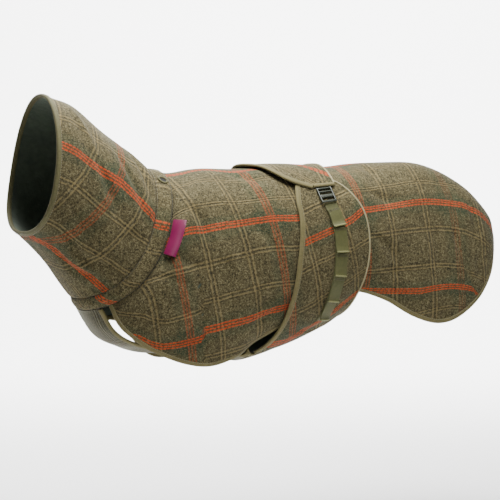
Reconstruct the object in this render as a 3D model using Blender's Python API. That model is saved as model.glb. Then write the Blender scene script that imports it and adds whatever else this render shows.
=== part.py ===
"""A worn, hollow dog coat of fleece-lined tweed: high collar, back panel, chest strap and belly belt.

The dog faces -X, its left side is -Y and +Z is up. The origin is on the lining's inner side, on the
ridge of the back, where the wearer carries the coat. Every cloth piece is a wall on one of two smooth
surfaces that are swept through hoops; a hoop runs from the ridge of the back round to the keel
underneath. Heights in the tables are given from the ridge of the panel's face, FACE_DROP higher up.
"""

import math

import bpy
import numpy as np

# Layers, as heights over the face of the back panel, and other thicknesses, in metres.
TWEED = 0.0016
LINING = 0.0012
GAP = 0.0003
FACE_DROP = TWEED + GAP + LINING
HEM_TUCK = 0.0008
BELT_REST = 0.0028
BELT_WALL = 0.0024
TONGUE_RISE = 0.0038
BINDING_WIDTH = 0.0080
BINDING_THICK = 0.0048
BELT_BINDING_THICK = 0.0034
RIM_WIDTH = 0.0060
SECTION_POWER = 0.90

# Straps and trim.
STRAP_HALF = 0.043
WEBBING_WIDTH = 0.020
WEBBING_THICK = 0.0014
LOOP_THICK = 0.0016
HOOK_WIDTH = 0.025
HOOK_LENGTH = 0.022
HOOK_THICK = 0.0024
HOOK_BAR = 0.0028
HOOK_LIFT = 0.0008
LABEL_THICK = 0.0008

# The collar's hoops, from the mouth to its seam with the casing band, and the band's lower seam.
# Sag is how far the widest place lies under the middle, as a share of half the hoop's height.
# ridge x, ridge z, keel x, keel z, half width, bow to the rear at the sides, sag
NECK_HOOPS = {
    "mouth": (-0.331, 0.108, -0.361, -0.092, 0.097, 0.006, 0.20),
    "throat": (-0.289, 0.090, -0.342, -0.109, 0.094, 0.008, 0.18),
    "middle": (-0.238, 0.053, -0.319, -0.138, 0.090, 0.012, 0.15),
    "nape": (-0.203, 0.026, -0.299, -0.164, 0.087, 0.021, 0.13),
    "collar seam": (-0.171, 0.001, -0.280, -0.188, 0.086, 0.029, 0.12),
    "band seam": (-0.146, -0.006, -0.268, -0.204, 0.088, 0.031, 0.12),
}
BAND_START = 4
BAND_HEM_ANGLE = 138

# The back panel's hoops, nose to tail. The first one is the band seam.
# ridge x, ridge z, hem x, hem z, hem y, hem angle from the ridge, bow to the rear at the sides
BACK_HOOPS = {
    "chest point": (-0.122, -0.004, -0.230, -0.227, 0.080, 132, 0.022),
    "shoulder": (-0.096, -0.001, -0.188, -0.257, 0.088, 126, 0.010),
    "elbow": (-0.058, 0.000, -0.122, -0.279, 0.091, 122, 0.003),
    "behind elbow": (-0.022, 0.000, -0.0647, -0.2712, 0.0859, 129, 0.000),
    "belt front": (0.008, 0.000, -0.0230, -0.2490, 0.0757, 138, 0.000),
    "ribs": (0.050, 0.000, 0.0438, -0.2096, 0.0883, 124, 0.000),
    "waist": (0.095, 0.000, 0.100, -0.183, 0.091, 120, 0.000),
    "loin": (0.140, 0.002, 0.145, -0.180, 0.082, 127, 0.000),
    "flank": (0.185, 0.006, 0.192, -0.195, 0.086, 118, 0.000),
    "thigh front": (0.231, 0.008, 0.236, -0.219, 0.088, 112, 0.000),
    "thigh": (0.275, 0.006, 0.280, -0.230, 0.087, 109, 0.000),
    "thigh rear": (0.315, -0.005, 0.319, -0.217, 0.086, 106, 0.000),
    "buttock": (0.348, -0.024, 0.353, -0.188, 0.083, 103, 0.000),
    "tail side": (0.372, -0.045, 0.376, -0.150, 0.075, 98, 0.000),
    "tail root": (0.387, -0.061, 0.389, -0.110, 0.058, 93, 0.000),
    "rear hem": (0.395, -0.071, 0.397, -0.082, 0.032, 88, 0.000),
}

# The right hem is cut a little higher than the left at the shoulder and the thigh: its share of the
# left one's reach, hoop by hoop from the band seam.
RIGHT_HEM = (1, 0.96, 0.89, 1, 1, 1, 1, 1, 1, 0.98, 0.885, 0.905, 0.985, 1, 1, 1, 1)

# The keel that the chest strap and the belly belt follow, beside the first hoops of the back.
# keel x, keel z
BELLY_KEEL = {
    "band seam": (-0.268, -0.204),
    "chest point": (-0.238, -0.242),
    "shoulder": (-0.190, -0.262),
    "elbow": (-0.125, -0.269),
    "behind elbow": (-0.068, -0.274),
}

# The belly belt's edges: angle from the keel (left side negative), front hoop, rear hoop.
# A hoop number counts the back panel's hoops from 0 at the band seam.
BELT_EDGES = {
    "left end": (-148, 6.10, 6.80),
    "left top": (-139, 5.94, 7.30),
    "left shoulder": (-126, 5.83, 7.66),
    "left high": (-110, 5.86, 7.96),
    "left side": (-90, 5.78, 8.07),
    "left low": (-68, 5.69, 7.98),
    "left hem": (-48, 5.56, 7.80),
    "left leg": (-34, 5.40, 7.70),
    "left chest": (-25, 5.16, 7.64),
    "left strap": (-21.5, 4.90, 7.62),
    "right strap": (21.5, 4.90, 7.62),
    "right chest": (25, 5.26, 7.64),
    "right leg": (34, 5.56, 7.70),
    "right hem": (48, 5.75, 7.80),
    "right low": (68, 5.90, 7.98),
    "right side": (90, 5.90, 8.06),
    "right high": (114, 5.62, 7.92),
    "right shoulder": (136, 5.16, 7.55),
    "right top": (158, 4.66, 7.18),
    "ridge": (178, 4.40, 7.08),
    "tongue front": (192, 4.90, 7.08),
    "tongue": (204, 5.24, 7.09),
    "tongue neck": (214, 5.68, 7.10),
    "tongue end": (222, 6.36, 7.11),
}

TONGUE_CLIMB = (176, 202)

# The webbing's line: angle from the keel on the left side, hoop number.
WEBBING_LINE = ((-117.5, 6.82), (-99, 6.97), (-79, 6.94), (-59, 6.79), (-40, 6.62))
LOOP_PLACES = (0.187, 0.370, 0.551, 0.770, 0.965)

# The hook's line down the left wing, the label's corners and the leash hole.
HOOK_LINE = ((-135.5, 6.74), (-127.5, 6.77), (-119.5, 6.80))
LABEL_HOOPS = (0.93, 0.90)
LABEL_REACH = (-0.451, -0.621)
LEASH_HOLE = (4.45, -27)

AXIS_HEIGHT = -0.11

# Mesh steps.
NECK_AROUND = 28
COLLAR_ALONG = 8
BACK_ALONG = 27
BACK_AROUND = 19
STRAP_ALONG = 11
STRAP_ACROSS = 5
BELT_STEPS = 2
BELT_ACROSS = 7
WEBBING_STEPS = 14


def smooth(rows, at):
    """Values of a table's columns at fractional row numbers, on a Catmull-Rom curve."""
    rows = np.asarray(rows, float)
    at = np.clip(np.asarray(at, float), 0, len(rows) - 1)
    i = np.minimum(at.astype(int), len(rows) - 2)
    t = (at - i)[..., None]
    before = 2 * rows[0] - rows[1]
    after = 2 * rows[-1] - rows[-2]
    padded = np.vstack([before, rows, after])
    p0, p1, p2, p3 = (padded[i + k] for k in range(4))
    return p1 + 0.5 * t * (p2 - p0 + t * (2 * p0 - 5 * p1 + 4 * p2 - p3 + t * (3 * (p1 - p2) + p3 - p0)))


def power(value):
    return np.sign(value) * np.abs(value) ** SECTION_POWER


def hoop_point(row, angle):
    """Points at angles from the ridge round hoops given by their ridge, keel, width, bow and sag."""
    ridge, keel = row[..., 0:2], row[..., 2:4]
    half_width, bow, sag = row[..., 4], row[..., 5], row[..., 6]
    along = power(np.cos(angle))
    share = ((1 - along + sag * (1 - along**2)) / 2)[..., None]
    line = keel - ridge
    length = np.linalg.norm(line, axis=-1, keepdims=True)
    rearward = np.stack([-line[..., 1], line[..., 0]], -1) / length
    spot = ridge + line * share + rearward * (bow * (1 - along**2))[..., None]
    return np.stack([spot[..., 0], half_width * power(np.sin(angle)), spot[..., 1] + FACE_DROP], -1)


def back_hoop_rows():
    """Ridge, keel, half width, bow and hem angle of each hoop of the back panel."""
    seam = NECK_HOOPS["band seam"]
    rows = [(*seam, math.radians(BAND_HEM_ANGLE))]
    for ridge_x, ridge_z, hem_x, hem_z, hem_y, degrees, bow in BACK_HOOPS.values():
        angle = math.radians(degrees)
        along = float(power(np.cos(angle)))
        ridge = np.array([ridge_x, ridge_z])
        hem = np.array([hem_x, hem_z])
        rearward = np.array([ridge_z - hem_z, hem_x - ridge_x]) / np.linalg.norm(hem - ridge)
        keel = ridge + (hem - rearward * bow * (1 - along**2) - ridge) * 2 / (1 - along)
        half_width = hem_y / float(power(np.sin(angle)))
        rows.append((ridge_x, ridge_z, keel[0], keel[1], half_width, bow, 0.0, angle))
    return np.array(rows)


NECK_ROWS = np.array(list(NECK_HOOPS.values()))
BACK_ROWS = back_hoop_rows()
LAST_HOOP = len(BACK_ROWS) - 1


def neck(hoop, angle):
    """A point of the collar or band: hoop is a row of NECK_HOOPS, angle in radians from the ridge."""
    return hoop_point(smooth(NECK_ROWS, hoop), np.asarray(angle, float))


def back(hoop, reach):
    """A point of the back panel's face: reach runs from -1 at the left hem to 1 at the right one."""
    row = smooth(BACK_ROWS, hoop)
    reach = np.asarray(reach, float)
    right = smooth(np.array(RIGHT_HEM, float)[:, None], hoop)[..., 0]
    return hoop_point(row, np.where(reach > 0, reach * right, reach) * row[..., 7])


def belly_rows():
    """The back's hoops with their keels taken to the belly line, for what runs under the dog."""
    rows = BACK_ROWS.copy()
    rows[: len(BELLY_KEEL), 2:4] = list(BELLY_KEEL.values())
    return rows


BELLY_ROWS = belly_rows()


def girth(hoop, angle):
    """A point round the whole body: angle in radians from the keel, negative on the left."""
    upper = smooth(BACK_ROWS, hoop)
    lower = smooth(BELLY_ROWS, hoop)
    angle = np.asarray(angle, float)
    around = math.pi - angle
    point = hoop_point(upper, around)
    down = np.clip(-power(np.cos(around)), 0, 1)
    shift = lower[..., 2:4] - upper[..., 2:4]
    point[..., 0] += shift[..., 0] * down
    point[..., 2] += shift[..., 1] * down
    return point


def normals(grid, outward):
    """Unit normals of a grid of points, turned to the side of the given rough direction."""
    du = np.gradient(grid, axis=0)
    dv = np.gradient(grid, axis=1)
    n = np.cross(du, dv)
    n /= np.linalg.norm(n, axis=-1, keepdims=True)
    return n * np.sign((n * outward).sum(-1, keepdims=True))


def ring_normals(grid, outward):
    """The same for a grid whose second axis closes on itself."""
    wrapped = np.concatenate([grid[:, -1:], grid, grid[:, :1]], axis=1)
    aimed = np.concatenate([outward[:, -1:], outward, outward[:, :1]], axis=1)
    return normals(wrapped, aimed)[:, 1:-1]


def add_material(obj, name, colour, roughness, metallic=0.0):
    material = bpy.data.materials.get(name)
    if material is None:
        material = bpy.data.materials.new(name)
        material.use_nodes = True
        shader = material.node_tree.nodes["Principled BSDF"]
        shader.inputs["Base Color"].default_value = (*colour, 1.0)
        shader.inputs["Roughness"].default_value = roughness
        shader.inputs["Metallic"].default_value = metallic
    obj.data.materials.append(material)


def tweed(obj):
    add_material(obj, "tweed", (0.17, 0.14, 0.075), 0.92)


def fleece(obj):
    add_material(obj, "fleece_lining", (0.018, 0.027, 0.016), 0.95)


def tape(obj):
    add_material(obj, "binding_tape", (0.12, 0.10, 0.052), 0.80)


def webbing(obj):
    add_material(obj, "webbing", (0.15, 0.14, 0.075), 0.70)


def plastic(obj):
    add_material(obj, "hook_plastic", (0.09, 0.12, 0.085), 0.38)


def label_cloth(obj):
    add_material(obj, "label_cloth", (0.50, 0.045, 0.20), 0.60)


def mesh_object(name, points, faces, finish):
    """A smooth-shaded object, with its faces turned outward."""
    mesh = bpy.data.meshes.new(name)
    mesh.from_pydata([tuple(p) for p in points], [], faces)
    corner = points[[f[:3] for f in faces]]
    if np.linalg.det(corner - points.mean(0)).sum() < 0:
        mesh.flip_normals()
    mesh.shade_smooth()
    mesh.set_sharp_from_angle(angle=math.radians(40))
    obj = bpy.data.objects.new(name, mesh)
    bpy.context.scene.collection.objects.link(obj)
    finish(obj)
    return obj


def wall(name, outer, inner, finish, ring=False):
    """A closed wall between two grids of points; ring joins the last column to the first."""
    rows, cols = outer.shape[:2]
    points = np.concatenate([outer.reshape(-1, 3), inner.reshape(-1, 3)])
    back_side = rows * cols
    faces = []
    spans = cols if ring else cols - 1

    def corner(i, j):
        return i * cols + j % cols

    for i in range(rows - 1):
        for j in range(spans):
            a, b = corner(i, j), corner(i, j + 1)
            c, d = corner(i + 1, j + 1), corner(i + 1, j)
            faces.append((a, b, c, d))
            faces.append((back_side + a, back_side + d, back_side + c, back_side + b))
    for j in range(spans):
        a, b = corner(0, j), corner(0, j + 1)
        faces.append((b, a, back_side + a, back_side + b))
        a, b = corner(rows - 1, j), corner(rows - 1, j + 1)
        faces.append((a, b, back_side + b, back_side + a))
    if not ring:
        for i in range(rows - 1):
            a, b = corner(i, 0), corner(i + 1, 0)
            faces.append((a, b, back_side + b, back_side + a))
            a, b = corner(i, cols - 1), corner(i + 1, cols - 1)
            faces.append((b, a, back_side + a, back_side + b))
    return mesh_object(name, points, faces, finish)


def layer(grid, normal, top, thickness):
    """Outer and inner grids of a wall whose outer face is at height top over the grid."""
    top = np.asarray(top, float)
    if top.ndim:
        top = top[..., None]
    return grid + normal * top, grid + normal * (top - thickness)


def frames(line, normal, closed):
    """Tangent and sideways unit vectors along a line of points with surface normals."""
    if closed:
        tangent = np.roll(line, -1, axis=0) - np.roll(line, 1, axis=0)
    else:
        tangent = np.gradient(line, axis=0)
    tangent /= np.linalg.norm(tangent, axis=1, keepdims=True)
    side = np.cross(tangent, normal)
    side /= np.linalg.norm(side, axis=1, keepdims=True)
    return tangent, side


def tape_edge(name, line, normal, outward, width, thickness, depth, finish, closed=False):
    """A rounded tape that wraps a cloth edge, just outside it: a six-sided section along a line."""
    side = frames(line, normal, closed)[1]
    side *= np.sign((side * outward).sum(1, keepdims=True))
    middle = line + side * (GAP + width / 2) + normal * depth
    section = ((-0.5, -0.30), (-0.36, 0.5), (0.36, 0.5), (0.5, 0.0), (0.36, -0.5), (-0.36, -0.5))
    rings = [middle + side * (u * width) + normal * (v * thickness) for u, v in section]
    points = np.stack(rings, axis=1)
    count, sides = points.shape[:2]
    faces = []
    for i in range(count if closed else count - 1):
        for k in range(sides):
            a, b = i * sides + k, i * sides + (k + 1) % sides
            c, d = (i + 1) % count * sides + (k + 1) % sides, (i + 1) % count * sides + k
            faces.append((a, b, c, d))
    if not closed:
        faces.append(tuple(range(sides))[::-1])
        faces.append(tuple((count - 1) * sides + k for k in range(sides)))
    return mesh_object(name, points.reshape(-1, 3), faces, finish)


def flat_strip(name, line, normal, width, height, thickness, finish):
    """A strip of even width along a line, its outer face at a height over the surface."""
    side = frames(line, normal, False)[1]
    edges = [line + side * (k * width / 2) for k in (-1, 0, 1)]
    grid = np.stack(edges, axis=1)
    lift = np.repeat(normal[:, None], 3, axis=1)
    return wall(name, *layer(grid, lift, height, thickness), finish)


def away_from_axis(grid):
    """A rough outward direction: square from a level line through the middle of the body."""
    return (grid - [0.0, 0.0, AXIS_HEIGHT]) * [0, 1, 1]


def neck_grid(start, end, along):
    hoops = np.linspace(start, end, along)
    angles = np.linspace(-math.pi, math.pi, NECK_AROUND + 1)[:-1]
    hoop, angle = np.meshgrid(hoops, angles, indexing="ij")
    grid = neck(hoop, angle)
    centre = grid.mean(axis=1, keepdims=True)
    return grid, ring_normals(grid, grid - centre)


def trimmed(grid, start_gap, end_gap):
    """The grid with its first and last rows drawn in along the cloth, for the gaps at its seams."""
    grid = grid.copy()
    for row, beside, gap in ((0, 1, start_gap), (-1, -2, end_gap)):
        step = grid[beside] - grid[row]
        grid[row] += step * gap / np.linalg.norm(step, axis=-1, keepdims=True)
    return grid


def make_collar():
    grid, normal = neck_grid(0, BAND_START, COLLAR_ALONG)
    shell = trimmed(grid, RIM_WIDTH, GAP)
    wall("collar", *layer(shell, normal, 0.0, TWEED), tweed, ring=True)
    lining = trimmed(grid, RIM_WIDTH, 2 * GAP)
    wall("collar_lining", *layer(lining, normal, -TWEED - GAP, LINING), fleece, ring=True)
    mouth = trimmed(grid, RIM_WIDTH - GAP, 0.0)[0]
    outward = grid[0] - grid[1]
    middle = -FACE_DROP / 2
    tape_edge("collar_mouth_binding", mouth, normal[0], outward, RIM_WIDTH - GAP,
              BINDING_THICK, middle, tape, closed=True)


def make_band():
    grid, normal = neck_grid(BAND_START, BAND_START + 1, 3)
    shell = trimmed(grid, GAP / 2, GAP / 2)
    wall("neck_casing_band", *layer(shell, normal, 0.0005, TWEED + 0.0010), tweed, ring=True)


def back_grid():
    hoop, reach = np.meshgrid(
        np.linspace(0, LAST_HOOP, BACK_ALONG), np.linspace(-1, 1, BACK_AROUND), indexing="ij"
    )
    grid = back(hoop, reach)
    return grid, normals(grid, away_from_axis(grid))


def make_back_panel():
    grid, normal = back_grid()
    shell = trimmed(grid, 2 * GAP, 0.0)
    wall("back_panel", *layer(shell, normal, 0.0, TWEED), tweed)
    wall("back_panel_lining", *layer(shell, normal, -TWEED - GAP, LINING), fleece)
    last = BACK_ALONG - 1
    left = [(i, 0) for i in range(0, last)]
    rear = [(last, j) for j in range(0, BACK_AROUND)]
    right = [(i, BACK_AROUND - 1) for i in range(last - 1, -1, -1)]
    path = left + rear + right
    line = np.array([grid[i, j] for i, j in path])
    lift = np.array([normal[i, j] for i, j in path])
    inside = np.array([grid[min(i, last - 1), min(max(j, 1), BACK_AROUND - 2)] for i, j in path])
    outward = line - inside
    tape_edge("back_panel_binding", line, lift, outward, BINDING_WIDTH, BINDING_THICK,
              -FACE_DROP / 2 - HEM_TUCK, tape)


def strap_angle(hoop):
    """The angle from the keel at which the chest strap's edge runs."""
    half_width = smooth(BELLY_ROWS, hoop)[..., 4]
    return np.arcsin((STRAP_HALF / half_width) ** (1 / SECTION_POWER))


def strap_grid():
    hoops = np.linspace(0.0, BELT_EDGES["left strap"][1], STRAP_ALONG)
    hoop, share = np.meshgrid(hoops, np.linspace(-1, 1, STRAP_ACROSS), indexing="ij")
    grid = girth(hoop, share * strap_angle(hoop))
    return grid, normals(grid, away_from_axis(grid))


def make_chest_strap():
    grid, normal = strap_grid()
    shell = trimmed(grid, 3 * GAP, GAP)
    wall("chest_strap", *layer(shell, normal, BELT_REST + BELT_WALL, BELT_WALL), tweed)


def belt_grid():
    """Points and normals over the belt from its left end, under the belly, to the tongue's end,
    with the height of the belt's outer face over them: it climbs where the tongue covers the wing."""
    rows = np.array(list(BELT_EDGES.values()))
    line = smooth(rows, np.linspace(0, len(rows) - 1, BELT_STEPS * (len(rows) - 1) + 1))
    degrees, front, rear = line.T
    seam = BELT_EDGES["left strap"]
    front = np.where(np.abs(degrees) <= -seam[0], np.maximum(front, seam[1]), front)
    over = np.clip((degrees - TONGUE_CLIMB[0]) / (TONGUE_CLIMB[1] - TONGUE_CLIMB[0]), 0, 1)
    height = BELT_REST + BELT_WALL + TONGUE_RISE * over * over * (3 - 2 * over)
    share = np.linspace(0, 1, BELT_ACROSS)
    hoop = front[:, None] + (rear - front)[:, None] * share
    grid = girth(hoop, np.radians(degrees)[:, None] + 0 * hoop)
    return grid, normals(grid, away_from_axis(grid)), height[:, None] + 0 * hoop


def make_belly_belt():
    grid, normal, height = belt_grid()
    wall("belly_belt", *layer(grid, normal, height, BELT_WALL), tweed)


def make_front_bindings():
    """Tapes along both edges of the chest strap, each going on along the belt's front edge."""
    strap, strap_normal = strap_grid()
    belt, belt_normal, height = belt_grid()
    names = list(BELT_EDGES)
    left = slice(names.index("left strap") * BELT_STEPS, None, -1)
    right = slice(names.index("right strap") * BELT_STEPS, None)
    for side, column, beside, stretch in (("left", 0, 1, left), ("right", -1, -2, right)):
        line = np.vstack([strap[:-1, column], belt[stretch, 0]])
        normal = np.vstack([strap_normal[:-1, column], belt_normal[stretch, 0]])
        inside = np.vstack([strap[:-1, beside], belt[stretch, 1]])
        middle = np.concatenate([height[0, :1].repeat(STRAP_ALONG - 1), height[stretch, 0]])
        lift = normal * (middle - BELT_WALL / 2)[:, None]
        tape_edge(f"belly_binding_{side}", line + lift, normal, line - inside, BINDING_WIDTH,
                  BELT_BINDING_THICK, 0.0, tape)


def on_belt(places, table):
    """Points and normals over the belt at rows of (angle from the keel in degrees, hoop)."""
    rows = smooth(np.array(table), places)
    angle, hoop = np.radians(rows[:, 0]), rows[:, 1]
    step = 0.02
    line = girth(hoop, angle)
    normal = np.cross(girth(hoop + step, angle) - line, girth(hoop, angle + step) - line)
    normal /= np.linalg.norm(normal, axis=1, keepdims=True)
    return line, normal * np.sign((normal * away_from_axis(line)).sum(1, keepdims=True))


def make_webbing():
    last = len(WEBBING_LINE) - 1
    base = BELT_REST + BELT_WALL + GAP + WEBBING_THICK
    line, normal = on_belt(np.linspace(0, last, WEBBING_STEPS), WEBBING_LINE)
    flat_strip("daisy_chain_webbing", line, normal, WEBBING_WIDTH, base, WEBBING_THICK, webbing)
    for number, place in enumerate(LOOP_PLACES, 1):
        spots = np.linspace(place * last - 0.075 * last, place * last, 4)
        line, normal = on_belt(spots, WEBBING_LINE)
        lift = np.array([0.0, 0.0005, 0.0016, 0.0030])[:, None]
        flat_strip(f"daisy_chain_loop_{number}", line + normal * lift, normal, WEBBING_WIDTH,
                   base + GAP + LOOP_THICK, LOOP_THICK, webbing)


def make_label():
    hoop, share = np.meshgrid(np.linspace(0.12, 1, 4), np.linspace(0, 1, 4), indexing="ij")
    hoop = hoop * (LABEL_HOOPS[0] + (LABEL_HOOPS[1] - LABEL_HOOPS[0]) * share)
    grid = back(hoop, LABEL_REACH[0] + (LABEL_REACH[1] - LABEL_REACH[0]) * share)
    normal = normals(grid, away_from_axis(grid))
    wall("label", *layer(grid, normal, GAP + LABEL_THICK, LABEL_THICK), label_cloth)


def make_leash_hole_rim():
    turn = np.linspace(0, 2 * math.pi, 13)[:-1]
    hoop = LEASH_HOLE[0] + 0.30 * np.cos(turn)
    angle = math.radians(LEASH_HOLE[1]) + 0.060 * np.sin(turn)
    line = neck(hoop, angle)
    centre = line.mean(axis=0)
    normal = centre - neck(LEASH_HOLE[0], math.radians(90))
    normal = np.repeat(normal[None] / np.linalg.norm(normal), len(line), axis=0)
    tape_edge("leash_hole_rim", line, normal, line - centre, 0.0022, 0.0016, 0.0024, tape, closed=True)


def ladder(name, origin, across, down, up, cuts_across, cuts_down, holes, thickness, finish):
    """A flat plate on a grid of cuts, with the named cells left open."""
    columns, rows = len(cuts_across), len(cuts_down)
    level = np.array([[origin + across * x + down * y for x in cuts_across] for y in cuts_down])
    points = np.concatenate([(level + up * thickness).reshape(-1, 3), level.reshape(-1, 3)])
    under = columns * rows
    solid = {(i, j) for i in range(rows - 1) for j in range(columns - 1)} - set(holes)
    faces = []
    for i, j in solid:
        a, b = i * columns + j, i * columns + j + 1
        c, d = b + columns, a + columns
        faces.append((a, b, c, d))
        faces.append((under + d, under + c, under + b, under + a))
        for beside, first, second in (((i - 1, j), b, a), ((i, j + 1), c, b),
                                      ((i + 1, j), d, c), ((i, j - 1), a, d)):
            if beside not in solid:
                faces.append((first, second, under + second, under + first))
    used = sorted({k for face in faces for k in face})
    index = {k: n for n, k in enumerate(used)}
    return mesh_object(name, points[used], [tuple(index[k] for k in face) for face in faces], finish)


def make_hook():
    """A flat plastic ladder hook at the end of the belt's tongue, lying on the left wing."""
    line, normal = on_belt(np.array([0.0, 0.5, 1.0]), HOOK_LINE)
    down = line[2] - line[0]
    down /= np.linalg.norm(down)
    across = np.cross(normal[1], down)
    across *= np.sign(across[0])
    half, bar = HOOK_WIDTH / 2, HOOK_BAR
    cuts_across = (-half, -half + bar, half - bar, half)
    cuts_down = (0, bar, 0.0075, 0.0075 + bar, 0.0135, 0.0135 + 1.3 * bar, HOOK_LENGTH - bar, HOOK_LENGTH)
    holes = [(1, 1), (3, 1), (5, 1)]
    rest = BELT_REST + BELT_WALL + 2 * GAP + HOOK_LIFT
    origin = line[0] + normal[1] * rest
    ladder("hook_frame", origin, across, down, normal[1], cuts_across, cuts_down, holes,
           HOOK_THICK, plastic)


def main():
    for obj in list(bpy.data.objects):
        bpy.data.objects.remove(obj, do_unlink=True)
    make_collar()
    make_band()
    make_back_panel()
    make_chest_strap()
    make_belly_belt()
    make_front_bindings()
    make_webbing()
    make_hook()
    make_label()
    make_leash_hole_rim()


main()
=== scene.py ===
"""Looks of the worn dog coat: plaid tweed shell, fleece lining, bound edges, belly belt, webbing and hook."""

import math

import bpy
import numpy as np
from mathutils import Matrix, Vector


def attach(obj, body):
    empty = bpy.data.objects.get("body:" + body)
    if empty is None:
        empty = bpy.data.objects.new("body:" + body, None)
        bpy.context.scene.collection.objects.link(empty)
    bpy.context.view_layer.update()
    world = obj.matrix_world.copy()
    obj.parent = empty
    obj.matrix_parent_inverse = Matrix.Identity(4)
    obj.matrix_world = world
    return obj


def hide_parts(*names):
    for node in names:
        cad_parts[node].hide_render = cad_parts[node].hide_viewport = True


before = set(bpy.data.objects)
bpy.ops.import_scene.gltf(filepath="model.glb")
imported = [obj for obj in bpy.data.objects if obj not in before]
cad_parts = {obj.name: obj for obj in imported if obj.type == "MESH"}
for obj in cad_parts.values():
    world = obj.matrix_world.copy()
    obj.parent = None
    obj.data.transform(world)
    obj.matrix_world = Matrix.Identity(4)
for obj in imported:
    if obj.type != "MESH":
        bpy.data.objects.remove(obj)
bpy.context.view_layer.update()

# ---------------------------------------------------------------- forms, as in the CAD part

TWEED = 0.0016
LINING = 0.0012
GAP = 0.0003
FACE_DROP = TWEED + GAP + LINING
BELT_REST = 0.0028
BELT_WALL = 0.0024
TONGUE_RISE = 0.0038
STRAP_HALF = 0.043
STRAP_REACH = 1.04
STRAP_TUCK = 0.0034
SECTION_POWER = 0.90
MOUTH_HOOP = 0.09
BAND_START = 4
BAND_HEM_ANGLE = 138
AXIS_HEIGHT = -0.11

# ridge x, ridge z, keel x, keel z, half width, bow to the rear at the sides, sag
NECK_HOOPS = (
    (-0.331, 0.108, -0.361, -0.092, 0.097, 0.006, 0.20),
    (-0.289, 0.090, -0.342, -0.109, 0.094, 0.008, 0.18),
    (-0.238, 0.053, -0.319, -0.138, 0.090, 0.012, 0.15),
    (-0.203, 0.026, -0.299, -0.164, 0.087, 0.021, 0.13),
    (-0.171, 0.001, -0.280, -0.188, 0.086, 0.029, 0.12),
    (-0.146, -0.006, -0.268, -0.204, 0.088, 0.031, 0.12),
)
# ridge x, ridge z, hem x, hem z, hem y, hem angle from the ridge, bow to the rear at the sides
BACK_HOOPS = (
    (-0.122, -0.004, -0.230, -0.227, 0.080, 132, 0.022),
    (-0.096, -0.001, -0.188, -0.257, 0.088, 126, 0.010),
    (-0.058, 0.000, -0.122, -0.279, 0.091, 122, 0.003),
    (-0.022, 0.000, -0.0647, -0.2712, 0.0859, 129, 0.000),
    (0.008, 0.000, -0.0230, -0.2490, 0.0757, 138, 0.000),
    (0.050, 0.000, 0.0438, -0.2096, 0.0883, 124, 0.000),
    (0.095, 0.000, 0.100, -0.183, 0.091, 120, 0.000),
    (0.140, 0.002, 0.145, -0.180, 0.082, 127, 0.000),
    (0.185, 0.006, 0.192, -0.195, 0.086, 118, 0.000),
    (0.231, 0.008, 0.236, -0.219, 0.088, 112, 0.000),
    (0.275, 0.006, 0.280, -0.230, 0.087, 109, 0.000),
    (0.315, -0.005, 0.319, -0.217, 0.086, 106, 0.000),
    (0.348, -0.024, 0.353, -0.188, 0.083, 103, 0.000),
    (0.372, -0.045, 0.376, -0.150, 0.075, 98, 0.000),
    (0.387, -0.061, 0.389, -0.110, 0.058, 93, 0.000),
    (0.395, -0.071, 0.397, -0.082, 0.032, 88, 0.000),
)
BELLY_KEEL = ((-0.268, -0.204), (-0.238, -0.242), (-0.190, -0.262), (-0.125, -0.269), (-0.068, -0.274))
# angle from the keel (left side negative), front hoop, rear hoop
BELT_EDGES = (
    (-148, 6.10, 6.80), (-139, 5.94, 7.30), (-126, 5.83, 7.66), (-110, 5.86, 7.96),
    (-90, 5.78, 8.07), (-68, 5.69, 7.98), (-48, 5.56, 7.80), (-34, 5.40, 7.70),
    (-25, 5.16, 7.64), (-21.5, 4.90, 7.62), (21.5, 4.90, 7.62), (25, 5.26, 7.64),
    (34, 5.56, 7.70), (48, 5.75, 7.80), (68, 5.90, 7.98), (90, 5.90, 8.06),
    (114, 5.62, 7.92), (136, 5.16, 7.55), (158, 4.66, 7.18), (178, 4.40, 7.08),
    (192, 4.90, 7.08), (204, 5.24, 7.09), (214, 5.68, 7.10), (222, 6.36, 7.11),
)
LEFT_STRAP_ROW = 9
RIGHT_STRAP_ROW = 10
TONGUE_CLIMB = (176, 202)
WEBBING_LINE = ((-117.5, 6.82), (-99, 6.97), (-79, 6.94), (-59, 6.79), (-40, 6.62))
WEBBING_RUN = ((-122.5, 6.79), *WEBBING_LINE[1:])
WEBBING_WIDTH = 0.020
WEBBING_RISE = 0.0014
TACK_HALF = 0.0088
FIRST_LOOP = 0.045
LOOP_LIFT = 0.0040
LOOP_PLACES = (0.187, 0.370, 0.551, 0.770, 0.965)
HOOK_LINE = ((-135.5, 6.74), (-127.5, 6.77), (-119.5, 6.80))
RIGHT_HEM = (1, 0.96, 0.89, 1, 1, 1, 1, 1, 1, 0.98, 0.885, 0.905, 0.985, 1, 1, 1, 1)
LABEL_START = 0.15
LABEL_HOOPS = (0.93, 0.90)
LABEL_REACH = (-0.440, -0.611)
LABEL_SLANT = 0.022
LEASH_HOLE = (4.45, -27)
HOLE_STEPS = 48


def smooth(rows, at):
    """Values of a table's columns at fractional row numbers, on a Catmull-Rom curve."""
    rows = np.asarray(rows, float)
    at = np.clip(np.asarray(at, float), 0, len(rows) - 1)
    i = np.minimum(at.astype(int), len(rows) - 2)
    t = (at - i)[..., None]
    padded = np.vstack([2 * rows[0] - rows[1], rows, 2 * rows[-1] - rows[-2]])
    p0, p1, p2, p3 = (padded[i + k] for k in range(4))
    return p1 + 0.5 * t * (p2 - p0 + t * (2 * p0 - 5 * p1 + 4 * p2 - p3 + t * (3 * (p1 - p2) + p3 - p0)))


def unit(vectors):
    return vectors / np.linalg.norm(vectors, axis=-1, keepdims=True)


def power(value):
    return np.sign(value) * np.abs(value) ** SECTION_POWER


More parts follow.
